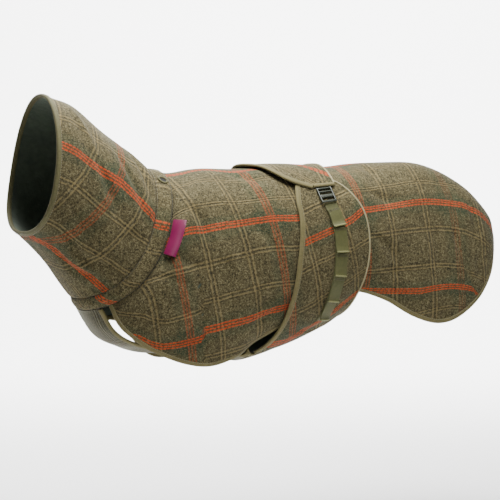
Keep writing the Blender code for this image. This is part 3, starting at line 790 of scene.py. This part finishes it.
# Folds on the collar lie at the length from the mouth and the length from the ridge, negative on the left.
COLLAR_FOLDS = (
    (35, -225, 85, -235, 130, -215, -1.6, 10),
    (20, -190, 60, -205, 105, -190, -1.2, 10),
    (40, -265, 80, -262, 125, -240, -1.4, 9),
    (60, -100, 95, -130, 120, -150, -1.2, 12),
    (110, -60, 150, -95, 172, -140, -1.3, 11),
    (140, -20, 165, -50, 180, -90, -1, 9),
    (30, -45, 60, -80, 70, -120, 1, 12),
    (130, -180, 150, -160, 172, -150, -1, 8),
    (40, 215, 85, 232, 130, 212, -1.5, 10),
    (50, 100, 90, 134, 118, 156, -1.2, 12),
    (105, 55, 146, 90, 170, 134, -1.2, 11),
    (20, 150, 60, 178, 100, 180, -1, 10),
)


def neck_grid(start, end, rows, cols):
    hoop, angle = np.meshgrid(np.linspace(start, end, rows), np.linspace(-math.pi, math.pi, cols + 1),
                              indexing="ij")
    grid = neck(hoop, angle)
    around = arcs(grid, 1)
    t = around - around[:, cols // 2][:, None]
    ring = grid[:, :-1]
    normal = normals(ring, ring - ring.mean(axis=1, keepdims=True), ring=True)
    return grid, ring, normal, t, hoop


def collar_plaid(hoop, s, t):
    depth = np.abs(t)
    u = (s - np.interp(depth, COLLAR_CROSS_ROUND, COLLAR_CROSS)) / REPEAT_LONG
    left = lines_at(hoop, depth, COLLAR_PLACES, COLLAR_STRIPES, STRIPE_MARKS)
    ridge = lines_at(hoop, 0 * depth, COLLAR_PLACES, COLLAR_STRIPES, STRIPE_MARKS)
    return np.stack([u, np.where(t <= 0, left, ridge - depth / REPEAT_ROUND)], -1)


def make_collar():
    grid, ring, normal, t, hoop = neck_grid(MOUTH_HOOP, BAND_START - 0.01, 101, 180)
    s = arcs(grid, 0) + 0.004
    uv = collar_plaid(hoop, s, t)
    fade = ease(hoop, 0.1, 0.6) * ease(BAND_START - hoop, 0.0, 0.3)
    seam_dip = SEAM_DIP * np.exp(-(((hoop - BAND_START) / 0.07) ** 2))
    height = COLLAR_FOLD_GAIN * folds(s, t, COLLAR_FOLDS) + swell(s, t, COLLAR_SWELL, 9)
    relief = (height * fade - seam_dip)[:, :-1, None]
    outer = ring + normal * relief
    cloth = shell("collar_cloth", outer, outer - normal * TWEED, uv, [tweed], ring=True)
    add(cloth, "tweed", "collar")
    inner = outer - normal * (TWEED + GAP)
    lining = shell("collar_lining_cloth", inner[::2, ::2], (inner - normal * LINING)[::2, ::2],
                   np.stack([s, t], -1)[::2, ::2], [lining_fleece], ring=True)
    add(lining, "fleece_lining", "collar_lining")
    _, mouth_ring, mouth_normal = neck_grid(MOUTH_HOOP, 1, 4, 240)[:3]
    line = mouth_ring[0]
    outward = mouth_ring[0] - mouth_ring[1]
    section = oval(0.0078, 0.0058, (0.0016, -FACE_DROP / 2), 14, 0.85)
    rim = bound_edge(("collar_mouth_tape", "collar_mouth_stitches"), "collar_mouth_binding", line,
                     mouth_normal[0], outward, section, mouth_tape, 0.0012, -0.0016, closed=True)


BAND_RISE = 0.0042
BAND_GATHER = 0.00045
BAND_DEPTH = 0.0022
# count of the crosswise repeat at the band's upper seam, and its growth to the lower one
BAND_PLAID = (0.455, 0.09)


def make_band():
    """The casing band between collar and back: a slim raised tunnel with pressed seams on both sides."""
    grid, ring, normal, t, hoop = neck_grid(BAND_START, BAND_START + 1, 15, 220)
    share = (hoop - BAND_START)[:, :-1]
    rise = BAND_RISE * np.sin(math.pi * share) ** 0.50 - 0.0010
    gather = BAND_GATHER * np.sin(t[:, :-1] * 330 + 3 * np.sin(t[:, :-1] * 61)) * np.sin(math.pi * share)
    outer = ring + normal * (rise + gather)[..., None]
    inner = ring - normal * BAND_DEPTH
    uv = collar_plaid(np.full_like(hoop, BAND_START), 0 * t, t * 0.94)
    uv[..., 0] = BAND_PLAID[0] + (hoop - BAND_START) * BAND_PLAID[1]
    band = shell("neck_casing_band_cloth", outer, inner, uv, [band_tweed], ring=True)
    add(band, "tweed", "neck_casing_band")
    for name, place, lift in (("upper", BAND_START, 0.0006), ("lower", BAND_START + 1, 0.0)):
        _, seam_ring, seam_normal = neck_grid(place - 0.02, place + 0.02, 3, 200)[:3]
        row = stitches(f"band_{name}_stitches", seam_ring[1], seam_normal[1], 0.0036, 0.0026, 0.0006,
                       lift, dark_thread)
        add(row, "tweed")


def make_leash_hole():
    turn = np.linspace(0, 2 * math.pi, HOLE_STEPS + 1)[:-1]
    hoop = LEASH_HOLE[0] + 0.24 * np.cos(turn)
    angle = math.radians(LEASH_HOLE[1]) + 0.050 * np.sin(turn)
    line = neck(hoop, angle)
    centre = line.mean(axis=0)
    normal = np.repeat(unit(centre - neck(LEASH_HOLE[0], math.radians(90)))[None], len(line), axis=0)
    section = oval(0.0030, 0.0024, (0.0008, 0.0040), 10)
    rim = sweep("leash_hole_rim_tape", line, normal, line - centre, section, mouth_tape, closed=True)
    add(rim, "binding_tape", "leash_hole_rim")
    # A near-black disc inside the rim is painted shade in the hole's opening.
    inside = centre + (line - centre) * 0.90 + normal * 0.0040
    points = np.vstack([inside, centre + normal[0] * 0.0038])
    faces = [(i, (i + 1) % HOLE_STEPS, HOLE_STEPS) for i in range(HOLE_STEPS)]
    add(mesh_object("leash_hole_shade_disc", points, faces, [hole_shade_dark]), "fleece_lining")


# ---------------------------------------------------------------- chest strap and belly belt

def strap_grid(rows, cols):
    hoops = np.linspace(0.0, BELT_EDGES[LEFT_STRAP_ROW][1], rows)
    hoop, share = np.meshgrid(hoops, np.linspace(-STRAP_REACH, STRAP_REACH, cols), indexing="ij")
    half_width = smooth(BELLY_ROWS, hoop)[..., 4]
    grid = girth(hoop, share * np.arcsin((STRAP_HALF / half_width) ** (1 / SECTION_POWER)))
    return grid, normals(grid, away_from_axis(grid))


def belt_rows(count):
    degrees, front, rear = smooth(np.array(BELT_EDGES), np.linspace(0, len(BELT_EDGES) - 1, count)).T
    strap_angle, strap_hoop = -BELT_EDGES[LEFT_STRAP_ROW][0], BELT_EDGES[LEFT_STRAP_ROW][1]
    front = np.where(np.abs(degrees) <= strap_angle, np.maximum(front, strap_hoop), front)
    over = ease(degrees, *TONGUE_CLIMB)
    return degrees, front, rear, BELT_REST + BELT_WALL + TONGUE_RISE * over


def belt_grid(rows, cols):
    degrees, front, rear, height = belt_rows(rows)
    hoop = front[:, None] + (rear - front)[:, None] * np.linspace(0, 1, cols)
    angle = np.radians(degrees)[:, None] + 0 * hoop
    grid = girth(hoop, angle)
    return grid, normals(grid, away_from_axis(grid)), height[:, None] + 0 * hoop, hoop, angle


WING_PLACES = (0.03, 0.06, 0.09, 0.12, 0.15)
WING_STRIPES = (
    (127, 115, 104, 93, 82),
    (170, 159, 149, 136, 115),
    (210, 196, 185, 179, 165),
    (270, 256, 238, 222, 205),
    (329, 307, 285, 261, 236),
)
TONGUE_STRIPE = 0.056
GIRTH_HOOP = 6.9
WING_CROSS = 0.038
# Folds on the belt lie at x and the length round from the ridge down the left side.
WING_FOLDS = (
    (60, 85, 75, 120, 78, 160, -1, 9),
    (42, 150, 60, 190, 66, 235, -1.2, 10),
    (118, 110, 130, 150, 134, 190, -1, 9),
    (50, 240, 85, 262, 118, 262, -1.3, 10),
    (30, 300, 70, 310, 112, 296, -1.3, 11),
    (20, 360, 60, 372, 104, 366, -1.2, 11),
    (30, 470, 66, 486, 110, 476, -1.2, 11),
    (52, 560, 80, 600, 82, 650, -1.2, 11),
    (20, 690, 50, 720, 82, 732, -1, 10),
    (30, 830, 60, 842, 86, 840, -0.9, 8),
)


def belt_plaid(x, t, angle, total):
    left = lines_at(x, t, WING_PLACES, WING_STRIPES, STRIPE_MARKS)
    right = (t - total - TONGUE_STRIPE) / REPEAT_ROUND + 5
    share = ease(np.degrees(angle), -15, 60)
    u_left = 0.3 + (x - 0.28 * (t - 0.140) - WING_CROSS) / REPEAT_LONG
    u_right = 0.3 + (x - 0.02) / REPEAT_LONG
    return np.stack([u_left + (u_right - u_left) * share, left + (right - left) * share], -1)


def make_belt():
    grid, normal, height, hoop, angle = belt_grid(301, 61)
    t = girth_arc(hoop, angle)
    total = girth_arc(np.array([[GIRTH_HOOP]]), np.array([[math.pi]]))[0, 0]
    uv = belt_plaid(grid[..., 0], t, angle, total)
    share = np.linspace(0, 1, 61)[None]
    edge = ease(share, 0, 0.08) * ease(1 - share, 0, 0.08)
    x = grid[..., 0]
    relief = (WING_FOLD_GAIN * folds(x, t, WING_FOLDS) + swell(x, t, WING_SWELL, 3)) * edge
    outer = grid + normal * (height + relief)[..., None]
    inner = grid + normal * (height - BELT_WALL + relief * 0.8)[..., None]
    belt = shell("belly_belt_cloth", outer, inner, uv, [tweed, inner_fleece], inner_material=1)
    add(belt, "tweed", "belly_belt")
    strap, strap_normal = strap_grid(81, 33)
    y = arcs(strap, 1) - STRAP_HALF
    s = arcs(strap, 0)
    pucker = 0.0006 * np.sin(s * 140 + y * 40) * ease(STRAP_HALF - np.abs(y), 0, 0.012)
    tuck = STRAP_TUCK * (1 - ease(np.linspace(0, 1, 81), 0.0, 0.14))[:, None]
    top = strap + strap_normal * (BELT_REST + BELT_WALL + pucker - tuck)[..., None]
    # The strap's darker tweed is painted shade under the chest.
    cloth = shell("chest_strap_cloth", top, strap + strap_normal * (BELT_REST - tuck)[..., None],
                  np.stack([s / REPEAT_LONG + 0.35, y / REPEAT_ROUND + 0.5], -1), [shaded_strap_tweed, inner_fleece],
                  inner_material=1)
    add(cloth, "tweed", "chest_strap")
    tapes = make_front_tapes()
    # The piping's lighter colour is a painted highlight along the belt's rear edge.
    rear_line = grid[:, -1] + normal[:, -1] * (height[:, -1] - BELT_WALL / 2)[:, None]
    data = refine(np.hstack([rear_line, normal[:, -1], (grid[:, -1] - grid[:, -3])]), 420)
    piping = sweep("belly_belt_rear_piping", data[:, :3], data[:, 3:6], data[:, 6:9],
                   oval(0.0030, 0.0036, (0.0006, 0.0004), 10), piping_highlight_tape)
    add(piping, "binding_tape")
    end_line = grid[-1] + normal[-1] * (height[-1] - BELT_WALL / 2)[:, None]
    end = sweep("belly_belt_tongue_end_tape", end_line, normal[-1], grid[-1] - grid[-4],
                oval(0.0064, 0.0044, (0.0016, 0.0), 12), binding)
    add(end, "binding_tape")


def make_front_tapes():
    """Wide rounded tapes along the strap's edges, each running on along the belt's front edge."""
    count = 301
    belt, belt_normal, height, hoop, angle = belt_grid(count, 61)
    strap, strap_normal = strap_grid(61, 9)
    row = (count - 1) / (len(BELT_EDGES) - 1)
    left = slice(int(round(LEFT_STRAP_ROW * row)), None, -1)
    right = slice(int(round(RIGHT_STRAP_ROW * row)), None)
    made = []
    for side, column, beside, stretch in (("left", 0, 1, left), ("right", -1, -2, right)):
        line = np.vstack([strap[:-1, column], belt[stretch, 0]])
        normal = np.vstack([strap_normal[:-1, column], belt_normal[stretch, 0]])
        inside = np.vstack([strap[:-1, beside], belt[stretch, 2]])
        rise = np.concatenate([np.full(60, BELT_REST + BELT_WALL), height[stretch, 0]]) - BELT_WALL / 2
        data = refine(np.hstack([line + normal * rise[:, None], normal, line - inside]), 330)
        line, normal, outward = data[:, :3], unit(data[:, 3:6]), data[:, 6:9]
        for _ in range(2):
            line[1:-1] = (line[:-2] + 2 * line[1:-1] + line[2:]) / 4
        wave = 1 + 0.04 * np.sin(np.linspace(0, 90, len(line))) * np.sin(np.linspace(0, 31, len(line)))
        section = oval(0.0086, 0.0046, (0.0033, 0.0002), 14, 0.80, 0.02)
        made += bound_edge((f"belly_tape_{side}", f"belly_tape_{side}_stitches"), f"belly_binding_{side}",
                           line, normal, outward, section, binding, 0.0021, 0.0008, wave=wave)
    return made


# ---------------------------------------------------------------- webbing, hook and label

def on_belt(places, table):
    rows = smooth(np.array(table), places)
    angle, hoop = np.radians(rows[:, 0]), rows[:, 1]
    line = girth(hoop, angle)
    step = 0.02
    normal = unit(np.cross(girth(hoop + step, angle) - line, girth(hoop, angle + step) - line))
    return line, normal * np.sign((normal * away_from_axis(line)).sum(1, keepdims=True))


def strip(name, line, normal, width, heights, thickness, material, cols=13):
    """A woven tape whose outer face follows given heights over the surface."""
    side = unit(np.cross(unit(np.gradient(line, axis=0)), normal))
    shares = np.linspace(-1, 1, cols)
    crown = -0.0002 * shares**4
    grid = line[:, None] + side[:, None] * (shares * width / 2)[None, :, None]
    top = grid + normal[:, None] * (heights[:, None] + crown[None])[..., None]
    under = grid + normal[:, None] * (heights[:, None] - thickness + 0 * crown[None])[..., None]
    s = arcs(line[:, None], 0)
    uv = np.stack([s + 0 * shares[None], (shares * width / 2)[None] + 0 * s], -1)
    return shell(name, top, under, uv, [material])


def make_webbing():
    last = len(WEBBING_RUN) - 1
    base = BELT_REST + BELT_WALL + GAP + WEBBING_RISE
    line, normal = on_belt(np.linspace(0, last, 90), WEBBING_RUN)
    heights = base - 0.0009 * (1 - ease(np.linspace(0, 1, 90), 0.02, 0.10))
    tape = strip("daisy_chain_webbing_tape", line, normal, WEBBING_WIDTH, heights, 0.0010, webbing_cloth)
    add(tape, "webbing", "daisy_chain_webbing")
    starts = (FIRST_LOOP, *LOOP_PLACES[:-1])
    for number, (start, end) in enumerate(zip(starts, LOOP_PLACES), 1):
        places = np.linspace(start + 0.012, end, 34) * last
        line, normal = on_belt(places, WEBBING_RUN)
        share = np.linspace(0, 1, 34)
        heights = base + 0.0016 + 0.0004 * np.sin(math.pi * share) + LOOP_LIFT * share**7
        loop = strip(f"daisy_chain_loop_{number}_tape", line, normal, WEBBING_WIDTH, heights, 0.0014,
                     webbing_cloth)
        add(loop, "webbing", f"daisy_chain_loop_{number}")
        across = unit(np.cross(line[-1] - line[-2], normal[-1]))
        tip = line[-1] + normal[-1] * (heights[-1] - 0.0006)
        # The lip's lighter colour is a painted highlight on the webbing's turned edge.
        lip = bar_mesh(f"daisy_chain_loop_{number}_lip", tip - across * WEBBING_WIDTH / 2,
                       tip + across * WEBBING_WIDTH / 2, normal[-1], 0.0024, 0.0022, lip_highlight_cloth)
        add(lip, "webbing")
        for k, place in enumerate((2, 4)):
            spot, spot_normal = line[place], normal[place]
            across = unit(np.cross(line[place + 1] - spot, spot_normal))
            row = refine(np.stack([spot - across * TACK_HALF, spot + across * TACK_HALF]), 12)
            bar = stitches(f"loop_{number}_tack_{k}", row, np.repeat(spot_normal[None], 12, 0),
                           0.0016, 0.0013, 0.0006, heights[place] + 0.0001, dark_thread)
            add(bar, "webbing")


def bar_mesh(name, start, end, up, width, height, material):
    """A rounded plastic bar from start to end."""
    line = refine(np.stack([start, end]), 12)
    across = np.cross(unit(end - start), up)
    t = np.linspace(0, 1, 12)
    scale = np.clip(np.sin(math.pi * np.clip(t, 0.04, 0.96)) * 6, 0.55, 1)
    return sweep(name, line, np.repeat(up[None], 12, 0), np.repeat(across[None], 12, 0),
                 oval(width, height, (0, 0), 12, 0.7), material, wave=scale)


HOOK_HALF = 0.0126
HOOK_LENGTH = 0.0258
# place along the hook and width of each cross bar
HOOK_BARS = ((0.0014, 0.0030), (0.0072, 0.0026), (0.0148, 0.0060), (0.0242, 0.0036))


def make_hook():
    """A moulded ladder hook: two side bars and four cross bars, the third a wide one."""
    line, normal = on_belt(np.array([0.0, 0.5, 1.0]), HOOK_LINE)
    down = unit(line[2] - line[0])
    up = normal[1]
    across = np.cross(up, down)
    across *= np.sign(across[0])
    up = np.cross(down, across) * np.sign(np.dot(np.cross(down, across), up))
    origin = line[0] + up * (BELT_REST + BELT_WALL + 0.0026) - across * 0.0022 + down * 0.0008
    bars = []
    for side in (-1, 1):
        edge = origin + across * side * (HOOK_HALF - 0.0014)
        bars.append(bar_mesh("b", edge - down * 0.0002, edge + down * HOOK_LENGTH, up, 0.0028, 0.0030,
                             hook_plastic))
    reach = across * (HOOK_HALF - 0.001)
    for place, width in HOOK_BARS:
        spot = origin + down * place
        bars.append(bar_mesh("b", spot - reach, spot + reach, up, width, 0.0026, hook_plastic))
    bpy.context.view_layer.update()
    chosen = {"active_object": bars[0], "selected_editable_objects": bars, "selected_objects": bars}
    with bpy.context.temp_override(**chosen):
        bpy.ops.object.join()
    hook = bars[0]
    hook.name = "ladder_hook"
    add(hook, "hook_plastic", "hook_frame")


def make_label():
    """A folded woven label, blank, caught in the band's lower seam and hanging a little askew."""
    hoop, share = np.meshgrid(np.linspace(0.0, 1, 15), np.linspace(0, 1, 31), indexing="ij")
    at = LABEL_START + hoop * (LABEL_HOOPS[0] - LABEL_START + (LABEL_HOOPS[1] - LABEL_HOOPS[0]) * share)
    reach = LABEL_REACH[0] + (LABEL_REACH[1] - LABEL_REACH[0]) * share - LABEL_SLANT * hoop
    grid = back(at, reach)
    normal = normals(grid, away_from_axis(grid))
    rise = 0.0016 + 0.0010 * np.sin(math.pi * hoop) ** 0.7 + 0.0003 * np.sin(share * 9)
    uv = np.stack([hoop, share], -1)
    outer, inner = (grid + normal * (rise + offset)[..., None] for offset in (0.0008, -0.0010))
    label = add(shell("label_tag", outer, inner, uv, [label_cloth]), "label_cloth", "label")


# ---------------------------------------------------------------- stage, light and camera

CAMERA_AZIMUTH = -25.0
CAMERA_ELEVATION = 3.0
CAMERA_DISTANCE = 3.4
CAMERA_LENS = 163.2
TARGET = Vector((0.0, 0.0, -0.1199))
FLOOR_HEIGHT = -0.56


def make_stage():
    """A seamless pale sweep: floor, a wide curve and a wall."""
    a = math.radians(CAMERA_AZIMUTH)
    toward = np.array([math.sin(a), -math.cos(a), 0.0])
    right = np.array([math.cos(a), math.sin(a), 0.0])
    radius, behind = 2.0, 2.6
    profile = [(4.5, 0.0), (0.0, 0.0), (-behind, 0.0)]
    for k in range(1, 17):
        turn = math.radians(90 * k / 16)
        profile.append((-behind - radius * math.sin(turn), radius * (1 - math.cos(turn))))
    profile.append((-behind - radius, 5.0))
    points = [toward * depth + right * side + [0, 0, FLOOR_HEIGHT + height]
              for depth, height in profile for side in (-6, 6)]
    faces = [(2 * k, 2 * k + 1, 2 * k + 3, 2 * k + 2) for k in range(len(profile) - 1)]
    paint = Nodes("sweep_paint").finish((0.93, 0.93, 0.925), 0.85)
    mesh_object("studio_sweep", np.array(points), faces, [paint])


def area_light(name, spot, aim, size, power, colour=(1, 1, 1)):
    light = bpy.data.lights.new(name, "AREA")
    light.shape = "RECTANGLE"
    light.size, light.size_y = size
    light.energy = power
    light.color = colour
    obj = bpy.data.objects.new(name, light)
    bpy.context.scene.collection.objects.link(obj)
    obj.location = spot
    obj.rotation_euler = (Vector(aim) - Vector(spot)).to_track_quat("-Z", "Y").to_euler()


def make_light():
    world = bpy.data.worlds.new("studio")
    bpy.context.scene.world = world
    world.use_nodes = True
    background = world.node_tree.nodes["Background"]
    background.inputs[0].default_value = (0.98, 0.98, 1.0, 1.0)
    background.inputs[1].default_value = 0.09
    area_light("overhead", (-0.12, -0.04, 0.80), (-0.02, 0.0, -0.05), (1.6, 0.5), 64)
    area_light("front_left", (-2.0, -1.9, 1.6), (-0.05, 0.0, -0.1), (1.0, 1.0), 10)
    area_light("front_right", (1.6, -2.2, 0.4), (0.0, 0.0, -0.12), (1.2, 1.2), 1.5)
    area_light("wall_wash", (1.0, 1.6, 2.2), (1.9, 4.6, 0.3), (4.0, 1.5), 800)


def make_camera():
    camera = bpy.data.cameras.new("camera")
    camera.sensor_width = 36.0
    camera.lens = CAMERA_LENS
    camera.clip_end = 60
    obj = bpy.data.objects.new("camera", camera)
    bpy.context.scene.collection.objects.link(obj)
    a, e = math.radians(CAMERA_AZIMUTH), math.radians(CAMERA_ELEVATION)
    away = Vector((math.sin(a) * math.cos(e), -math.cos(a) * math.cos(e), math.sin(e)))
    obj.location = TARGET + away * CAMERA_DISTANCE
    obj.rotation_euler = (-away).to_track_quat("-Z", "Y").to_euler()
    bpy.context.scene.camera = obj


for make in (make_back, make_collar, make_band, make_leash_hole, make_belt, make_webbing, make_hook,
             make_label, make_stage, make_light, make_camera):
    make()
